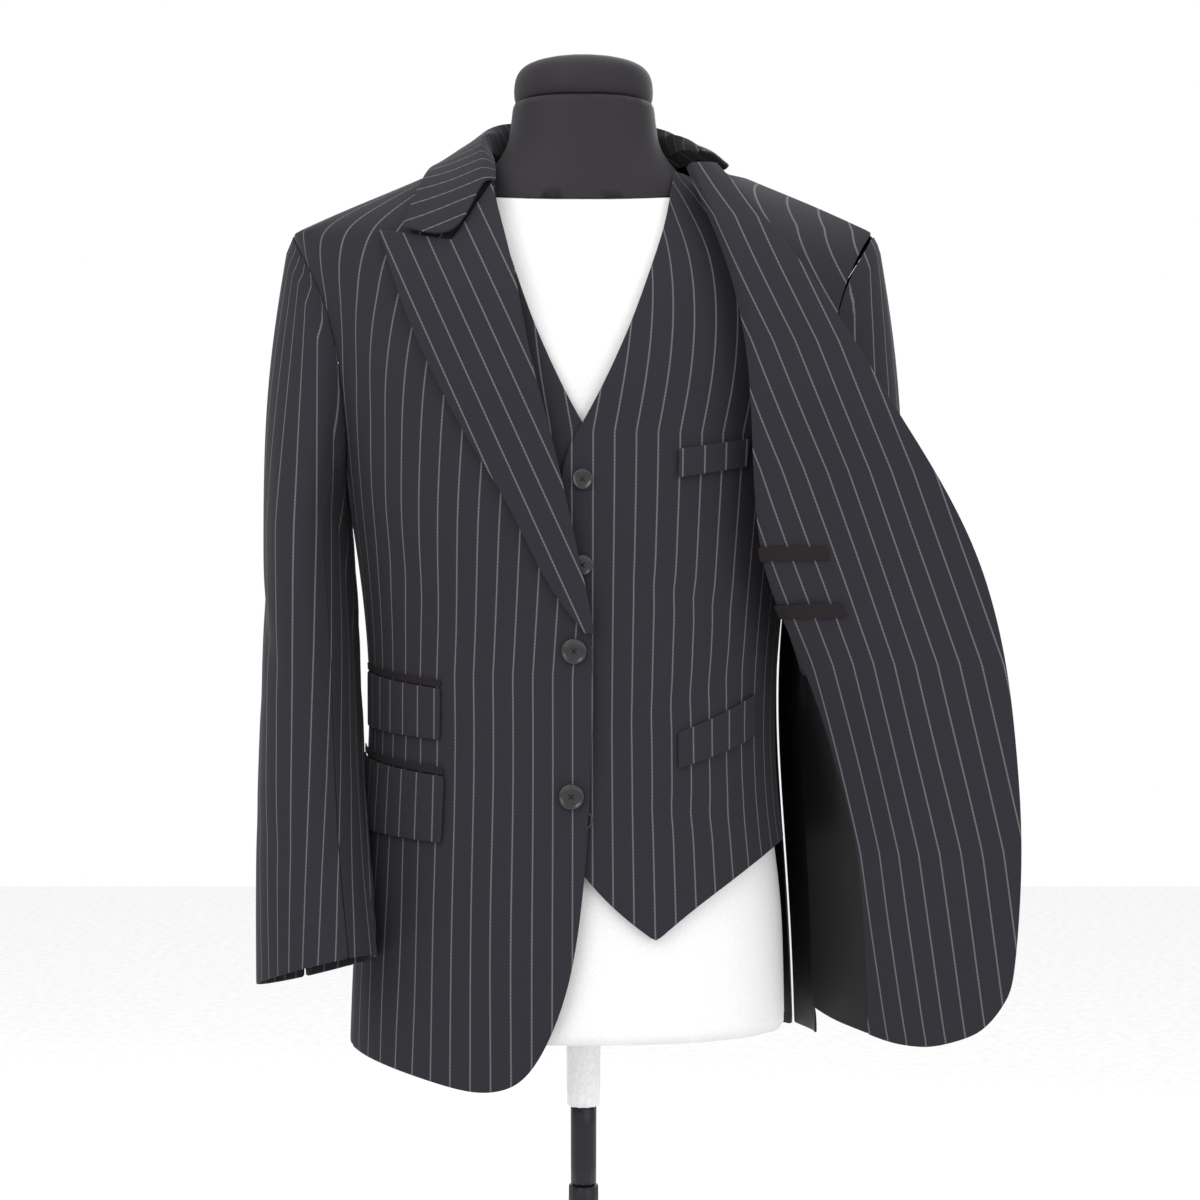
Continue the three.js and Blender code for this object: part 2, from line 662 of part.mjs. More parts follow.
function makeOpenFront() {
  const { root, crease, lapel, edge } = OPEN_COLUMNS;
  const [low, high] = [OPEN_LEVELS[0], OPEN_LEVELS[OPEN_LEVELS.length - 1]];
  const inside = JACKET_WALL / 2 + LAYER_GAP;
  const { suiting, lining } = MATERIALS;
  return [
    openWall("jacket_front_left", openPart(root, edge, low, high), JACKET_WALL / 2, -JACKET_WALL / 2, suiting),
    openWall("jacket_facing_left", openPart(crease, edge, low, high), inside + JACKET_WALL, inside, suiting),
    openWall("jacket_lining_left", openPart(root, crease, low, LINING_TOP), inside + LINING_WALL, inside, lining),
    openWall("jacket_lapel_left", openPart(lapel, edge, 1154, 1436), -inside, -inside - JACKET_WALL, suiting),
  ];
}

const SIDE_TUCK = 4; // the side panel's top is drawn in under the sleeve

function jacketSideLeft() {
  const levels = [742, 800, 860, 920, 985, 1050, 1115, 1165, 1214];
  const grid = levels.map((level, i) => {
    const top = i === levels.length - 1;
    const seam = JACKET_BODY.point(-backReach(top ? SIDE_TOP.back : level), top ? SIDE_TOP.back : level);
    const middle = JACKET_BODY.point(-4, top ? SIDE_TOP.middle : level);
    const root = openRow(Math.max(level, 785))[0];
    const foot = new THREE.Vector3(root.x, root.y + 1.6, top ? SIDE_TOP.front : level);
    if (top) [middle, foot].forEach((p) => p.setX(p.x - SIDE_TUCK));
    return smoothRow([seam, middle, foot], 6);
  });
  return wall("jacket_side_left", inset(grid, SEAM_INSET * 7), gridNormals(grid), 0, -JACKET_WALL, MATERIALS.suiting);
}

// ---- Sleeves: from the armhole down to the cuff ----
const SLEEVE_COLUMNS = ["z", "x", "y", "halfX", "halfY"];
const SLEEVES = {
  right: new Table(SLEEVE_COLUMNS, [
    [812, -207, -97, 46, 44],
    [880, -213, -78, 43, 50],
    [960, -218, -52, 40, 60],
    [1060, -221, -25, 36, 70],
    [1160, -227, -6, 32, 78],
  ]),
  left: new Table(SLEEVE_COLUMNS, [
    [812, 243, 16, 42, 46],
    [880, 240, 18, 41, 50],
    [960, 236, 20, 39, 55],
    [1060, 231, 20, 36, 60],
    [1160, 229, 18, 33, 68],
  ]),
};
const SLEEVE_LEVELS = [812, 860, 920, 990, 1060, 1110, 1160];
const CAP_ROWS = 5;
const CAP_STANDOFF = 2.4; // the sleeve head stands this far out from the armhole
const CUFF_TILT = { x: 0.25, y: -0.2 };
const ELBOW_SEAM = -72; // degrees round the sleeve from its outermost line, towards the back
const FOREARM_SEAM = 128; // towards the front

// The armhole's rim on the jacket, by an angle round it: 0 at the shoulder, 90 in front, 180 below.
function armholePoint(side, turn) {
  const c = Math.cos(radians(turn));
  const z = mix(1196, 1398, (1 + c) / 2);
  const s = Math.sin(radians(turn));
  const reach = ARMHOLE.at(s >= 0 ? "front" : "back", z);
  const body = JACKET_BODY;
  const offset = body.sideAngle(s >= 0 ? -reach : reach, z);
  const p = body.point(s >= 0 ? 180 - offset : 180 + offset, z);
  return new THREE.Vector3(side * -p.x, p.y, p.z);
}

function sleevePoint(side, level, turn) {
  const table = side > 0 ? SLEEVES.left : SLEEVES.right;
  const at = (column) => table.at(column, level);
  const c = Math.cos(radians(turn));
  const s = Math.sin(radians(turn));
  const fade = 1 - smoothStep((level - 812) / 120);
  const [dx, dy] = [side * at("halfX") * c, -at("halfY") * s];
  return new THREE.Vector3(at("x") + dx, at("y") + dy, level + fade * (-side * CUFF_TILT.x * dx + CUFF_TILT.y * dy));
}

function sleevePiece(name, side, from, to, columns) {
  const turns = steps(columns).map((t) => mix(from, to, t));
  const grid = SLEEVE_LEVELS.map((level) => turns.map((turn) => sleevePoint(side, level, turn)));
  for (let k = 1; k <= CAP_ROWS; k += 1) {
    const t = k / CAP_ROWS;
    grid.push(
      turns.map((turn) => {
        const low = sleevePoint(side, 1160, turn);
        const high = armholePoint(side, turn).add(new THREE.Vector3(side * CAP_STANDOFF, 0, 0));
        const p = low.clone().lerp(high, t);
        p.x += side * 7 * Math.sin(Math.PI * t) * Math.max(0, Math.cos(radians(turn)));
        return p;
      }),
    );
  }
  const facing = side > 0 ? grid.map((row) => [...row].reverse()) : grid;
  return wall(name, inset(facing, SEAM_INSET), gridNormals(facing), 0, -SLEEVE_WALL, MATERIALS.suiting);
}

function makeSleeves() {
  return [["right", -1], ["left", 1]].flatMap(([word, side]) => [
    sleevePiece("jacket_sleeve_" + word + "_top", side, FOREARM_SEAM, ELBOW_SEAM, 11),
    sleevePiece("jacket_sleeve_" + word + "_under", side, ELBOW_SEAM, FOREARM_SEAM - 360, 8),
  ]);
}

// ---- Pockets and buttons of the jacket ----
function makePockets() {
  const body = JACKET_BODY;
  const round = (angle, top, bottom) => ({ angle, top, bottom });
  const make = (name, ends, lift, thickness, material) => patch(name, body, ends, lift, thickness, 10, 2, material);
  return [
    make("ticket_jet_right", [end(body, -109, 1038, 1032), round(168, 1050, 1044)], 1.6, 1.0, MATERIALS.jet),
    make("ticket_flap_right", [end(body, -109, 1031, 991), round(168, 1043, 999)], 1.6, FLAP_WALL, MATERIALS.suiting),
    make("pocket_jet_right", [end(body, -107, 970, 964), round(176, 984, 978)], 1.6, 1.0, MATERIALS.jet),
    make("pocket_flap_right", [end(body, -107, 963, 911), round(176, 977, 920)], 1.6, FLAP_WALL, MATERIALS.suiting),
    button("jacket_button_1", JACKET_BUTTON, body, -6.5, 1060.7, 1.2),
    button("jacket_button_2", JACKET_BUTTON, body, -8.5, 948.6, 1.2),
  ];
}

function makeOpenPockets() {
  const crease = OPEN_COLUMNS.crease;
  const layer = JACKET_WALL / 2 + LAYER_GAP + JACKET_WALL + LAYER_GAP;
  const outside = -JACKET_WALL / 2 - LAYER_GAP;
  const { jet, suiting } = MATERIALS;
  return [
    openWall("inner_pocket_jets_1", openPart(crease, crease + 4, 1131, 1142), layer + 1, layer, jet),
    openWall("inner_pocket_jets_2", openPart(crease, crease + 4, 1087, 1098), layer + 1, layer, jet),
    openWall("pocket_flap_left", openPart(1, 9, 912, 966), outside, outside - FLAP_WALL, suiting),
    openWall("pocket_jet_left", openPart(1, 9, 968, 974), outside, outside - 1, jet),
  ];
}

const suit = new THREE.Group();
suit.add(...makeForm(), ...makeStand());
suit.add(waistcoatFront(1), waistcoatFront(-1), waistcoatBack(1), waistcoatBack(-1), ...makeWaistcoatTrim());
suit.add(jacketFrontRight(), jacketSideRight(), jacketSideLeft(), jacketBack(1), jacketBack(-1));
suit.add(lapelRight(), makeCollar(), ...makeOpenFront(), ...makeSleeves(), ...makePockets(), ...makeOpenPockets());

export default suit;
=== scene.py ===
"""A striped three-piece suit on a dress form: its cloth, finishes, floor, lights and camera."""
import logging
import math
from dataclasses import dataclass, field
from enum import Enum

import bmesh
import bpy
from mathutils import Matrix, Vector
from mathutils.kdtree import KDTree


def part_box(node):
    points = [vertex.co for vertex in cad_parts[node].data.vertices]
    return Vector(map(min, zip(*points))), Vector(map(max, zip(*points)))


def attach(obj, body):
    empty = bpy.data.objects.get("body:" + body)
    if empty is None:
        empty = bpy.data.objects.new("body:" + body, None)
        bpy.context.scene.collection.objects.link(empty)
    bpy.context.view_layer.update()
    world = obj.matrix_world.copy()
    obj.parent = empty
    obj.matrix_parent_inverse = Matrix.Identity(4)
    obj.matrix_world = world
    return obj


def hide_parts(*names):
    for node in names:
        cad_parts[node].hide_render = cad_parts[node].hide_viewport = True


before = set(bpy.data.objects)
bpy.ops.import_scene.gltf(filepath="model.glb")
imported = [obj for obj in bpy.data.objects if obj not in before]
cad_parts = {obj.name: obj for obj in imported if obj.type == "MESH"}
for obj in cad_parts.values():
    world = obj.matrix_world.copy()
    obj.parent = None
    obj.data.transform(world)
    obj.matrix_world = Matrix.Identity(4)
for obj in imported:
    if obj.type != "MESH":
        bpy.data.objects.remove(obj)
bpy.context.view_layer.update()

LOG = logging.getLogger("suit")
MM = 0.001
STRIPE_PITCH = 15.7 * MM
BODY = "root"
SEAM_DRAW = 0.92  # how much of the way a seam edge is drawn to its neighbour
LINING_FACING = 0.25  # a face that looks this much towards the wearer is lining
CRISP_EDGE = 0.9  # how far a sharp edge of a solid stays crisp when it is divided


class Grain(Enum):
    """How the straight grain, and so the stripes, run on a piece."""

    BODY = "round the body"
    FRONT = "round the body, leaning from the chest to the pocket"
    LAPEL = "parallel to the lapel's outer edge"
    COLLAR = "across the collar"
    OPEN = "down the swung front"
    WAISTCOAT = "down the waistcoat, leaning out above the buttons"
    SLEEVE_RIGHT = "down the right sleeve"
    SLEEVE_LEFT = "down the left sleeve"


@dataclass(frozen=True)
class Ellipse:
    """A plain oval that stands for a body section, to measure distances round it.

    Args:
        half: half its width, in metres.
        depth: half its depth, in metres.
        x: its centre across.
        y: its centre in depth.
    """

    half: float
    depth: float
    x: float = 0.0
    y: float = 0.0

    def arc(self, px: float, py: float) -> float:
        """Distance round the oval from its front middle to a point's direction.

        Args:
            px: the point's place across, in metres.
            py: the point's place in depth, in metres.

        Returns:
            The distance, in metres, positive on the wearer's left.
        """
        turn = math.atan2((px - self.x) / self.half, -(py - self.y) / self.depth)
        count = 24
        total = 0.0
        for k in range(count):
            t = turn * (k + 0.5) / count
            total += math.hypot(self.half * math.cos(t), self.depth * math.sin(t)) * turn / count
        return total


def ramp(table: list[tuple[float, float]], at: float) -> float:
    """A value read from a table along straight lines.

    Args:
        table: rows of (place, value), in rising order of place.
        at: the place to read.

    Returns:
        The value there, held level past the ends.
    """
    if at <= table[0][0]:
        return table[0][1]
    for (a, va), (b, vb) in zip(table, table[1:]):
        if at <= b:
            return va + (vb - va) * (at - a) / (b - a)
    return table[-1][1]


TORSO = Ellipse(0.190, 0.121)
WAIST = Ellipse(0.165, 0.114)
# Rows of (height, how far the stripes lean), then of (height, middle of the sleeve in depth or across).
OPEN_LEAN = [
    (0.75, 0.0), (0.90, 0.018), (1.05, 0.050), (1.20, 0.100), (1.30, 0.140), (1.40, 0.190), (1.45, 0.230),
]
RIGHT_ARM = [(0.812, -0.097), (0.88, -0.078), (0.96, -0.052), (1.06, -0.025), (1.16, -0.006), (1.40, 0.0)]
LEFT_ARM_X = [(0.812, 0.243), (0.96, 0.236), (1.06, 0.231), (1.16, 0.229), (1.40, 0.225)]
LAPEL_LEAN = math.radians(24.5)
NECK_MIDDLE_Y, NECK_RADIUS, COLLAR_RISE = -0.03, 0.09, 0.85
WAISTCOAT_LEAN, WAISTCOAT_LEAN_FROM = math.tan(math.radians(10)), 1.23
FRONT_LEAN, FRONT_LEAN_FROM, FRONT_LEAN_RISE = math.tan(math.radians(4.5)), 1.04, 0.30


def stripe_place(grain: Grain, p: Vector) -> float:
    """Distance of a point across the stripes.

    Args:
        grain: how the stripes run on its piece.
        p: the point, in metres.

    Returns:
        The distance, in metres, from a stripe line of the piece.
    """
    if grain is Grain.LAPEL:
        return p.x * math.cos(LAPEL_LEAN) + p.z * math.sin(LAPEL_LEAN)
    if grain is Grain.COLLAR:
        round_neck = math.atan2(p.y - NECK_MIDDLE_Y, abs(p.x)) * NECK_RADIUS * (1 if p.x < 0 else -1)
        return p.z * COLLAR_RISE + round_neck
    if grain is Grain.OPEN:
        return (p.x - 0.01 * math.sin(p.y * 20) + ramp(OPEN_LEAN, p.z) - p.y * 0.35) * 0.96
    if grain is Grain.SLEEVE_RIGHT:
        return Ellipse(0.038, 0.066, -0.218, ramp(RIGHT_ARM, p.z)).arc(p.x, p.y)
    if grain is Grain.SLEEVE_LEFT:
        return Ellipse(0.038, 0.056, ramp(LEFT_ARM_X, p.z), 0.018).arc(p.x, p.y)
    if grain is Grain.WAISTCOAT:
        lean = max(0.0, p.z - WAISTCOAT_LEAN_FROM) * WAISTCOAT_LEAN
        return WAIST.arc(p.x, p.y) - lean * (1 if p.x > 0 else -1)
    if grain is Grain.FRONT:
        lean = min(FRONT_LEAN_RISE, max(0.0, p.z - FRONT_LEAN_FROM)) * FRONT_LEAN
        return TORSO.arc(p.x, p.y) - lean
    return TORSO.arc(p.x, p.y)


# ---- Finishes ----
@dataclass(frozen=True)
class Finish:
    """A woven or hard finish made of nodes, with an even colour broken by a fine grain.

    Args:
        name: the finish's name.
        colour: its base colour, linear.
        roughness: how matt it is.
        sheen: the strength of the cloth's sheen.
        grain_scale: cycles per metre of its fine grain.
        bump: how deep the grain looks, in metres.
        coat: the strength of its clear coat.
        specular: the strength of its plain reflection.
    """

    name: str
    colour: tuple[float, float, float]
    roughness: float
    sheen: float = 0.0
    grain_scale: float = 900.0
    bump: float = 0.0002
    coat: float = 0.0
    specular: float = 0.25

    def build(self) -> bpy.types.Material:
        """Make the material.

        Returns:
            The new material.
        """
        material = bpy.data.materials.new(self.name)
        material.use_nodes = True
        tree = material.node_tree
        shader = tree.nodes["Principled BSDF"]
        shader.inputs["Roughness"].default_value = self.roughness
        shader.inputs["Sheen Weight"].default_value = self.sheen
        shader.inputs["Sheen Roughness"].default_value = 0.45
        shader.inputs["Coat Weight"].default_value = self.coat
        shader.inputs["Specular IOR Level"].default_value = self.specular
        place = tree.nodes.new("ShaderNodeTexCoord")
        noise = tree.nodes.new("ShaderNodeTexNoise")
        noise.inputs["Scale"].default_value = self.grain_scale
        noise.inputs["Detail"].default_value = 2.0
        tree.links.new(place.outputs["Object"], noise.inputs["Vector"])
        shade = tree.nodes.new("ShaderNodeMixRGB")
        shade.inputs["Color1"].default_value = (*[c * 0.82 for c in self.colour], 1)
        shade.inputs["Color2"].default_value = (*[min(1.0, c * 1.16) for c in self.colour], 1)
        tree.links.new(noise.outputs["Fac"], shade.inputs["Fac"])
        self.colour_source(tree, shade, shader)
        bump = tree.nodes.new("ShaderNodeBump")
        bump.inputs["Distance"].default_value = self.bump
        bump.inputs["Strength"].default_value = 0.5
        tree.links.new(noise.outputs["Fac"], bump.inputs["Height"])
        tree.links.new(bump.outputs["Normal"], shader.inputs["Normal"])
        return material

    def colour_source(
        self, tree: bpy.types.NodeTree, shade: bpy.types.Node, shader: bpy.types.Node
    ) -> None:
        """Send the shaded colour straight to the shader.

        Args:
            tree: the material's nodes.
            shade: the node that gives the ground colour.
            shader: the shader that takes the colour.
        """
        tree.links.new(shade.outputs["Color"], shader.inputs["Base Color"])


@dataclass(frozen=True)
class Pinstripe(Finish):
    """Worsted cloth with thin stripes along its grain, which its UV map measures in metres.

    Args:
        stripe: the stripes' colour, linear.
        width: the stripes' width, in metres.
    """

    stripe: tuple[float, float, float] = (0.125, 0.118, 0.125)
    width: float = 0.0011

    def colour_source(
        self, tree: bpy.types.NodeTree, shade: bpy.types.Node, shader: bpy.types.Node
    ) -> None:
        """Draw the stripes over the ground colour.

        Args:
            tree: the material's nodes.
            shade: the node that gives the ground colour.
            shader: the shader that takes the colour.
        """

        def math_node(kind: str, first: bpy.types.NodeSocket, second: float) -> bpy.types.NodeSocket:
            """Add a node that works on one socket and one number.

            Args:
                kind: the work it does, such as MULTIPLY.
                first: the socket.
                second: the number.

            Returns:
                The node's result.
            """
            node = tree.nodes.new("ShaderNodeMath")
            node.operation = kind
            tree.links.new(first, node.inputs[0])
            node.inputs[1].default_value = second
            return node.outputs[0]

        uv = tree.nodes.new("ShaderNodeUVMap")
        uv.uv_map = "cloth"
        split = tree.nodes.new("ShaderNodeSeparateXYZ")
        tree.links.new(uv.outputs["UV"], split.inputs[0])
        turns = math_node("DIVIDE", split.outputs[0], STRIPE_PITCH)
        share = math_node("FRACT", turns, 0.0)
        off = math_node("ABSOLUTE", math_node("SUBTRACT", share, 0.5), 0.0)
        inside = tree.nodes.new("ShaderNodeMapRange")
        half_stripe = 0.5 * self.width / STRIPE_PITCH
        inside.inputs["From Min"].default_value = half_stripe * 1.35  # the stripe's soft edge, outside
        inside.inputs["From Max"].default_value = half_stripe * 0.65  # and inside
        tree.links.new(off, inside.inputs["Value"])
        dots = math_node("SINE", math_node("MULTIPLY", split.outputs[1], 2400.0), 0.0)
        strength = math_node("ADD", math_node("MULTIPLY", dots, 0.16), 0.72)
        drawn = tree.nodes.new("ShaderNodeMath")
        drawn.operation = "MULTIPLY"
        tree.links.new(inside.outputs[0], drawn.inputs[0])
        tree.links.new(strength, drawn.inputs[1])
        mixed = tree.nodes.new("ShaderNodeMixRGB")
        mixed.inputs["Color2"].default_value = (*self.stripe, 1)
        tree.links.new(drawn.outputs[0], mixed.inputs["Fac"])
        tree.links.new(shade.outputs["Color"], mixed.inputs["Color1"])
        tree.links.new(mixed.outputs["Color"], shader.inputs["Base Color"])


FINISHES = {
    "suiting": Pinstripe("worsted suiting", (0.0135, 0.0128, 0.0178), 0.86, sheen=0.03, grain_scale=1400),
    "lining": Finish("satin lining", (0.0035, 0.0035, 0.0042), 0.5, grain_scale=1200, bump=0.00005),
    "jet": Finish("dark jetting", (0.007, 0.004, 0.0055), 0.8, sheen=0.02, grain_scale=1300),
    "button": Finish(
        "polished horn", (0.003, 0.003, 0.0035), 0.18, grain_scale=120, bump=0.00002, coat=0.3, specular=0.5,
    ),
    "form_cloth": Finish("form cover", (0.66, 0.65, 0.65), 0.85, grain_scale=1100, bump=0.0001),
    "neck_cloth": Finish("neck cover", (0.012, 0.010, 0.013), 0.62, sheen=0.03, grain_scale=900, bump=0.0001),
    "pole_white": Finish("white lacquer", (0.66, 0.66, 0.67), 0.35, grain_scale=300, bump=0.00002),
    "stand_metal": Finish("black lacquer", (0.009, 0.009, 0.011), 0.35, grain_scale=260, bump=0.00003),
}
MATERIALS: dict[str, bpy.types.Material] = {}  # each slot's material, made by main


# ---- Cloth creases ----
@dataclass(frozen=True)
class Crease:
    """One soft trough or ridge in a cloth, along a line from start to end.

    Args:
        start: where it begins, in metres.
        end: where it ends, in metres.
        depth: how far it moves the cloth, along the way given by push.
        width: how wide it is across.
        push: the way that the cloth moves.
    """

    start: tuple[float, float, float]
    end: tuple[float, float, float]
    depth: float
    width: float
    push: tuple[float, float, float]

    def move(self, p: Vector) -> Vector:
        """How far the crease moves a point.

        Args:
            p: the point, in metres.

        Returns:
            The move, in metres.
        """
        a, b = Vector(self.start), Vector(self.end)
        along = b - a
        t = max(0.0, min(1.0, (p - a).dot(along) / along.length_squared))
        off = (p - (a + along * t)).length / self.width
        fade = math.sin(math.pi * (0.12 + 0.76 * t))
        return Vector(self.push) * self.depth * fade * math.exp(-off * off)


SLEEVE_CREASES_RIGHT = [
    Crease((-0.262, -0.02, 1.12), (-0.235, -0.09, 1.04), 0.0035, 0.012, (0.6, 0.8, 0.0)),
    Crease((-0.262, -0.01, 1.05), (-0.225, -0.09, 0.99), 0.0030, 0.010, (0.6, 0.8, 0.0)),
    Crease((-0.235, -0.085, 1.30), (-0.225, -0.085, 1.14), 0.0040, 0.014, (0.0, 1.0, 0.0)),
    Crease((-0.255, 0.045, 1.02), (-0.230, 0.05, 0.94), 0.0030, 0.011, (0.3, -1.0, 0.0)),
    Crease((-0.250, -0.07, 0.93), (-0.222, -0.13, 0.90), 0.0022, 0.012, (0.5, 0.8, 0.0)),
]
SLEEVE_CREASES_LEFT = [
    Crease((0.266, -0.03, 1.14), (0.240, -0.05, 1.06), 0.0035, 0.012, (-0.6, 0.8, 0.0)),
    Crease((0.262, 0.06, 1.05), (0.240, 0.08, 0.97), 0.0030, 0.011, (-0.4, -0.9, 0.0)),
    Crease((0.270, 0.01, 0.98), (0.262, 0.05, 0.90), 0.0025, 0.012, (-1.0, 0.0, 0.0)),
]
FRONT_CREASES = [
    Crease((-0.205, -0.06, 1.34), (-0.165, -0.10, 1.20), 0.0030, 0.016, (0.2, 1.0, 0.0)),
    Crease((-0.175, -0.08, 1.16), (-0.120, -0.115, 1.08), 0.0022, 0.018, (0.2, 1.0, 0.0)),
    Crease((-0.150, -0.085, 0.90), (-0.140, -0.095, 0.76), 0.0025, 0.020, (0.1, 1.0, 0.0)),
    Crease((-0.070, -0.115, 0.93), (-0.060, -0.118, 0.76), -0.0020, 0.022, (0.0, 1.0, 0.0)),
]
OPEN_CREASES = [
    Crease((0.16, -0.11, 1.33), (0.21, -0.105, 1.10), 0.0045, 0.020, (0.1, 1.0, 0.0)),
    Crease((0.24, -0.10, 1.18), (0.27, -0.08, 0.98), -0.0040, 0.024, (0.0, 1.0, 0.0)),
    Crease((0.20, -0.09, 1.04), (0.24, -0.065, 0.88), 0.0035, 0.018, (0.0, 1.0, 0.0)),
    Crease((0.30, -0.07, 0.98), (0.30, -0.06, 0.80), 0.0035, 0.026, (0.0, 1.0, 0.0)),
]
BACK_CREASES = [
    Crease((-0.10, 0.115, 1.30), (-0.05, 0.11, 1.12), -0.0030, 0.020, (0.0, 1.0, 0.0)),
    Crease((0.12, 0.11, 1.27), (0.06, 0.105, 1.10), -0.0035, 0.018, (0.0, 1.0, 0.0)),
    Crease((-0.13, 0.09, 1.04), (-0.03, 0.10, 1.01), -0.0025, 0.012, (0.0, 1.0, 0.0)),
    Crease((0.14, 0.09, 1.02), (0.05, 0.10, 0.99), -0.0020, 0.014, (0.0, 1.0, 0.0)),
]
WAISTCOAT_CREASES = [
    Crease((0.03, -0.12, 1.12), (0.12, -0.09, 1.09), 0.0018, 0.010, (0.0, 1.0, 0.0)),
    Crease((0.03, -0.11, 1.00), (0.13, -0.08, 1.05), 0.0016, 0.012, (0.0, 1.0, 0.0)),
    Crease((0.05, -0.11, 0.94), (0.12, -0.09, 0.93), 0.0018, 0.012, (0.0, 1.0, 0.0)),
]


# ---- Pieces ----
@dataclass(frozen=True)
class Cut:
    """A sewn piece: its solid, its finish, its grain, its creases and the cloth it was cut from.

    Args:
        node: the solid that it stands for.
        flat: the width and length that stand for the cut, in metres: the length is the piece's height as
        worn; not used.
        slot: its finish.
        grain: how its stripes run.
        creases: its folds.
        held: how it hangs; not used.
        smooth: how often each face of its solid is divided.
    """

    node: str
    flat: tuple[float, float]
    slot: str
    grain: Grain
    creases: tuple[Crease, ...] = ()
    held: str = "draped"
    smooth: int = 3

    def build(self) -> bpy.types.Object:
        """Make the piece from its solid, finely divided, creased, with its grain as a UV map.

        Returns:
            The new piece.
        """
        piece = refined(self.node, self.smooth)
        mesh = piece.data
        for vertex in mesh.vertices:
            start = vertex.co.copy()
            for crease in self.creases:
                vertex.co += crease.move(start)
        lay_grain(mesh, self.grain)
        finish_piece(piece, self.node, self.slot)
        return piece


def sew(piece: bpy.types.Object, neighbours: list[bpy.types.Object], reach: float) -> None:
    """Draw a piece's seam edge in to the pieces that it is sewn to.

    Args:
        piece: the piece to move.
        neighbours: what it is sewn to.
        reach: how far its edge reaches, in metres.
    """
    points = [v.co for n in neighbours for v in n.data.vertices]
    tree = KDTree(len(points))
    for k, point in enumerate(points):
        tree.insert(point, k)
    tree.balance()
    for vertex in piece.data.vertices:
        near, _, distance = tree.find(vertex.co)
        if distance < reach:
            vertex.co = vertex.co.lerp(near, SEAM_DRAW * (1.0 - (distance / reach) ** 2))


def line_inside(piece: bpy.types.Object) -> None:
    """Give the faces that look towards the wearer the lining's finish.

    Args:
        piece: the piece to line.
    """
    piece.data.materials.append(MATERIALS["lining"])
    for face in piece.data.polygons:
        inward = Vector((-face.center.x, -face.center.y, 0.0))
        if face.normal.dot(inward.normalized()) > LINING_FACING:
            face.material_index = 1


def lay_grain(mesh: bpy.types.Mesh, grain: Grain) -> None:
    """Give the mesh a UV map, in metres, with u across the stripes and v its height.

    Args:
        mesh: the mesh to mark.
        grain: how its stripes run.
    """
    places = [(stripe_place(grain, v.co), v.co.z) for v in mesh.vertices]
    layer = mesh.uv_layers.new(name="cloth")
    for loop in mesh.loops:
        layer.data[loop.index].uv = places[loop.vertex_index]


def refined(node: str, levels: int, sharp: float = 50.0) -> bpy.types.Object:
    """A fine copy of a solid: its facets are joined into quads and divided smoothly.

    Args:
        node: the solid to copy.
        levels: how often each face is divided.
        sharp: edges that turn more than this many degrees stay crisp.

    Returns:
        The new object, at the origin.
    """
    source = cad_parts[node]
    mesh = source.data.copy()
    mesh.materials.clear()
    for layer in list(mesh.uv_layers):
        mesh.uv_layers.remove(layer)
    work = bmesh.new()
    work.from_mesh(mesh)
    bmesh.ops.remove_doubles(work, verts=work.verts, dist=0.00001)
    bmesh.ops.join_triangles(
        work, faces=work.faces, angle_face_threshold=0.9, angle_shape_threshold=1.9,
        cmp_seam=False, cmp_sharp=False, cmp_uvs=False, cmp_vcols=False, cmp_materials=False,
    )
    crisp = work.edges.layers.float.new("crease_edge")
    for edge in work.edges:
        edge.smooth = True
        if len(edge.link_faces) == 2 and edge.calc_face_angle(0.0) > math.radians(sharp):
            edge[crisp] = CRISP_EDGE
    work.to_mesh(mesh)
    work.free()
    piece = bpy.data.objects.new(node + "_finished", mesh)
    bpy.context.scene.collection.objects.link(piece)
    divide = piece.modifiers.new("divide", "SUBSURF")
    divide.levels = divide.render_levels = levels
    bpy.ops.object.select_all(action="DESELECT")
    bpy.context.view_layer.objects.active = piece
    piece.select_set(True)
    bpy.ops.object.modifier_apply(modifier="divide")
    bpy.ops.object.shade_smooth_by_angle(angle=math.radians(45))
    return piece


def finish_piece(piece: bpy.types.Object, node: str, slot: str) -> None:
    """Dress a piece, hang it on the body and hide the solid it stands for.

    Args:
        piece: the piece to dress.
        node: the solid.
        slot: its finish.
    """
    piece.data.materials.append(MATERIALS[slot])
    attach(piece, BODY)
    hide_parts(node)


@dataclass
class Garment:
    """A garment made of cut pieces.

    Args:
        name: the garment's name.
        cuts: its cut pieces.
        seams: what each piece's edge is drawn in to.
        lined: the pieces with lining on their inner side.
        seam_reach: how far a seam edge reaches, in metres.
    """

    name: str
    cuts: list[Cut] = field(default_factory=list)
    seams: dict[str, list[str]] = field(default_factory=dict)
    lined: list[str] = field(default_factory=list)
    seam_reach: float = 0.013

    def build(self) -> None:
        """Make every piece of it."""
        made = {cut.node: cut.build() for cut in self.cuts}
        for node, others in self.seams.items():
            sew(made[node], [made[other] for other in others], self.seam_reach)
        for node in self.lined:
            line_inside(made[node])
        LOG.info("%s has %d cut pieces", self.name, len(self.cuts))


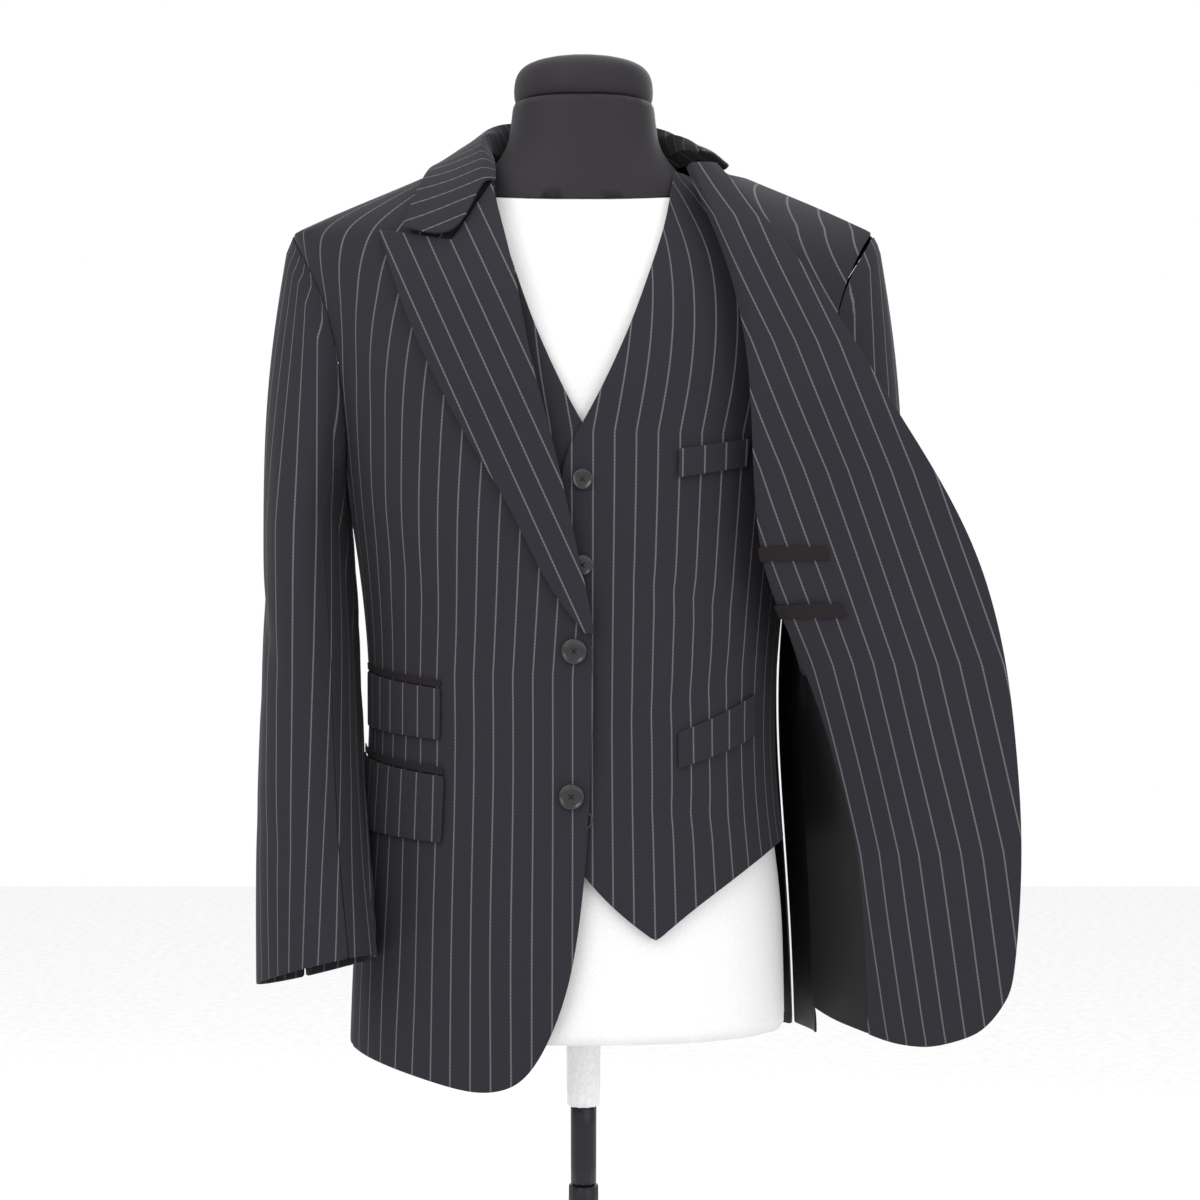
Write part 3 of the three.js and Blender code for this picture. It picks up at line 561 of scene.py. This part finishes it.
def jacket() -> Garment:
    """The jacket's cut pieces."""
    right, left = tuple(SLEEVE_CREASES_RIGHT), tuple(SLEEVE_CREASES_LEFT)
    opened, back = tuple(OPEN_CREASES), tuple(BACK_CREASES)
    return Garment("jacket", [
        Cut("jacket_front_right", (0.235, 0.743), "suiting", Grain.FRONT, tuple(FRONT_CREASES)),
        Cut("jacket_side_right", (0.101, 0.485), "suiting", Grain.BODY),
        Cut("jacket_side_left", (0.079, 0.48), "suiting", Grain.BODY),
        Cut("jacket_back_right", (0.244, 0.72), "suiting", Grain.BODY, back),
        Cut("jacket_back_left", (0.244, 0.72), "suiting", Grain.BODY, back),
        Cut("jacket_lapel_right", (0.072, 0.355), "suiting", Grain.LAPEL),
        Cut("jacket_collar", (0.299, 0.12), "suiting", Grain.COLLAR),
        Cut("jacket_front_left", (0.242, 0.701), "suiting", Grain.OPEN, opened),
        Cut("jacket_facing_left", (0.148, 0.703), "suiting", Grain.OPEN, opened),
        Cut("jacket_lining_left", (0.07, 0.297), "lining", Grain.OPEN, opened),
        Cut("jacket_lapel_left", (0.049, 0.28), "suiting", Grain.OPEN, opened),
        Cut("jacket_sleeve_right_top", (0.197, 0.599), "suiting", Grain.SLEEVE_RIGHT, right),
        Cut("jacket_sleeve_right_under", (0.138, 0.528), "suiting", Grain.SLEEVE_RIGHT, right),
        Cut("jacket_sleeve_left_top", (0.184, 0.598), "suiting", Grain.SLEEVE_LEFT, left),
        Cut("jacket_sleeve_left_under", (0.127, 0.528), "suiting", Grain.SLEEVE_LEFT, left),
        Cut("ticket_flap_right", (0.094, 0.051), "suiting", Grain.FRONT),
        Cut("pocket_flap_right", (0.121, 0.065), "suiting", Grain.FRONT),
        Cut("pocket_flap_left", (0.106, 0.065), "suiting", Grain.OPEN, opened),
        Cut("ticket_jet_right", (0.041, 0.017), "jet", Grain.FRONT),
        Cut("pocket_jet_right", (0.045, 0.019), "jet", Grain.FRONT),
        Cut("pocket_jet_left", (0.074, 0.01), "jet", Grain.OPEN, opened),
        Cut("inner_pocket_jets_1", (0.065, 0.012), "jet", Grain.OPEN, opened),
        Cut("inner_pocket_jets_2", (0.062, 0.013), "jet", Grain.OPEN, opened),
    ], seams={
        "jacket_side_left": ["jacket_lining_left"],
        "jacket_sleeve_right_top": ["jacket_front_right", "jacket_back_right"],
        "jacket_sleeve_right_under": ["jacket_front_right", "jacket_back_right", "jacket_side_right"],
        "jacket_sleeve_left_top": ["jacket_front_left", "jacket_back_left"],
        "jacket_sleeve_left_under": ["jacket_back_left", "jacket_side_left"],
    }, lined=[
        "jacket_front_right", "jacket_side_right", "jacket_side_left", "jacket_back_right", "jacket_back_left",
    ])


def waistcoat() -> Garment:
    """The waistcoat's cut pieces."""
    folds = tuple(WAISTCOAT_CREASES)
    return Garment("waistcoat", [
        Cut("waistcoat_front_left", (0.23, 0.608), "suiting", Grain.WAISTCOAT, folds),
        Cut("waistcoat_front_right", (0.226, 0.609), "suiting", Grain.WAISTCOAT, folds),
        Cut("waistcoat_back_left", (0.247, 0.535), "lining", Grain.BODY),
        Cut("waistcoat_back_right", (0.247, 0.535), "lining", Grain.BODY),
        Cut("waistcoat_chest_welt", (0.051, 0.031), "suiting", Grain.WAISTCOAT, folds),
        Cut("waistcoat_hip_welt", (0.048, 0.056), "suiting", Grain.WAISTCOAT, folds),
    ])


@dataclass
class HardPieces:
    """Buttons, form and stand: each keeps its solid's shape, finely rounded.

    Args:
        slots: the finish of each piece of the form and stand.
        thread_radius: half a button thread's thickness, in metres.
        thread_length: its length.
        thread_sink: how far its middle lies behind the button's front.
        thread_round: the rounding of its ends.
    """

    slots: dict[str, str] = field(default_factory=lambda: {
        "form_torso": "form_cloth", "form_neck": "neck_cloth", "form_neck_cap": "neck_cloth",
        "pole_sleeve": "pole_white", "pole_upper": "stand_metal", "pole_collar": "stand_metal",
        "pole_lower": "stand_metal", "stand_base": "stand_metal",
    })
    thread_radius: float = 0.0005
    thread_length: float = 0.0052
    thread_sink: float = 0.0006
    thread_round: float = 0.0002

    def build(self) -> None:
        """Make every hard piece."""
        for node, slot in self.slots.items():
            finish_piece(refined(node, 2, 40.0), node, slot)
        for node in sorted(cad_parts):
            if "button" in node:
                finish_piece(refined(node, 2, 60.0), node, "button")
                self.sew(node)
        LOG.info("%d form and stand pieces", len(self.slots))

    def sew(self, node: str) -> None:
        """Lay two crossed threads in the middle of a button.

        Args:
            node: the button.
        """
        low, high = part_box(node)
        middle = Vector([(a + b) / 2 for a, b in zip(low, high)])
        middle.y = low[1] + self.thread_sink
        for turn in (45, -45):
            bpy.ops.object.select_all(action="DESELECT")
            bpy.ops.mesh.primitive_cylinder_add(
                vertices=10, radius=self.thread_radius, depth=self.thread_length, location=middle
            )
            thread = bpy.context.active_object
            thread.name = f"{node}_thread_{'a' if turn > 0 else 'b'}"
            thread.rotation_euler = (0, math.radians(turn), 0)
            bpy.ops.object.transform_apply(location=True, rotation=True, scale=True)
            bevel = thread.modifiers.new("round", "BEVEL")
            bevel.width = self.thread_round
            bevel.segments = 2
            bpy.ops.object.modifier_apply(modifier="round")
            thread.data.materials.append(MATERIALS["jet"])
            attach(thread, BODY)


# ---- Studio ----
@dataclass
class Studio:
    """Pale floor, soft lights and the camera."""

    camera_at: tuple[float, float, float] = (0.0135, -1.9, 1.1)
    lens: float = 69.5

    def build(self) -> None:
        """Set the scene round the suit."""
        self.floor()
        self.light("key", (-1.6, -2.6, 2.6), 45.0, 2.2)
        self.light("fill", (1.9, -2.4, 1.9), 28.0, 2.2)
        self.light("top", (0.0, -0.2, 3.4), 30.0, 2.4)
        self.light("rear", (0.6, 2.2, 2.4), 30.0, 2.0)
        world = bpy.data.worlds.new("studio air")
        bpy.context.scene.world = world
        world.use_nodes = True
        world.node_tree.nodes["Background"].inputs["Color"].default_value = (1, 1, 1, 1)
        world.node_tree.nodes["Background"].inputs["Strength"].default_value = 1.0
        bpy.context.scene.view_settings.view_transform = "Standard"
        data = bpy.data.cameras.new("camera")
        data.lens = self.lens
        data.sensor_width = 36.0
        camera = bpy.data.objects.new("camera", data)
        camera.location = self.camera_at
        camera.rotation_euler = (math.radians(90), 0, 0)
        bpy.context.scene.collection.objects.link(camera)
        bpy.context.scene.camera = camera

    def floor(self) -> None:
        """A wide pale floor."""
        bpy.ops.object.select_all(action="DESELECT")
        bpy.ops.mesh.primitive_plane_add(size=14, location=(0, 0, -0.0005))
        floor = bpy.context.active_object
        floor.name = "studio_floor"
        bpy.ops.object.transform_apply(location=True, rotation=True, scale=True)
        paper = Finish("studio paper", (0.98, 0.98, 0.98), 1.0, grain_scale=40, bump=0.0)
        floor.data.materials.append(paper.build())

    def light(self, name: str, at: tuple[float, float, float], power: float, size: float) -> None:
        """Add a soft square light that faces the suit.

        Args:
            name: the light's name.
            at: its place, in metres.
            power: its power, in watts.
            size: its side, in metres.
        """
        data = bpy.data.lights.new(name, "AREA")
        data.energy = power
        data.size = size
        lamp = bpy.data.objects.new(name, data)
        lamp.location = at
        lamp.rotation_euler = (Vector((0.0, 0.0, 1.15)) - Vector(at)).to_track_quat("-Z", "Y").to_euler()
        bpy.context.scene.collection.objects.link(lamp)


def main() -> None:
    """Build the suit, the form and the studio."""
    logging.basicConfig(level=logging.INFO)
    for slot, finish in FINISHES.items():
        MATERIALS[slot] = finish.build()
    waistcoat().build()
    jacket().build()
    HardPieces().build()
    Studio().build()


if __name__ == "__main__":
    main()
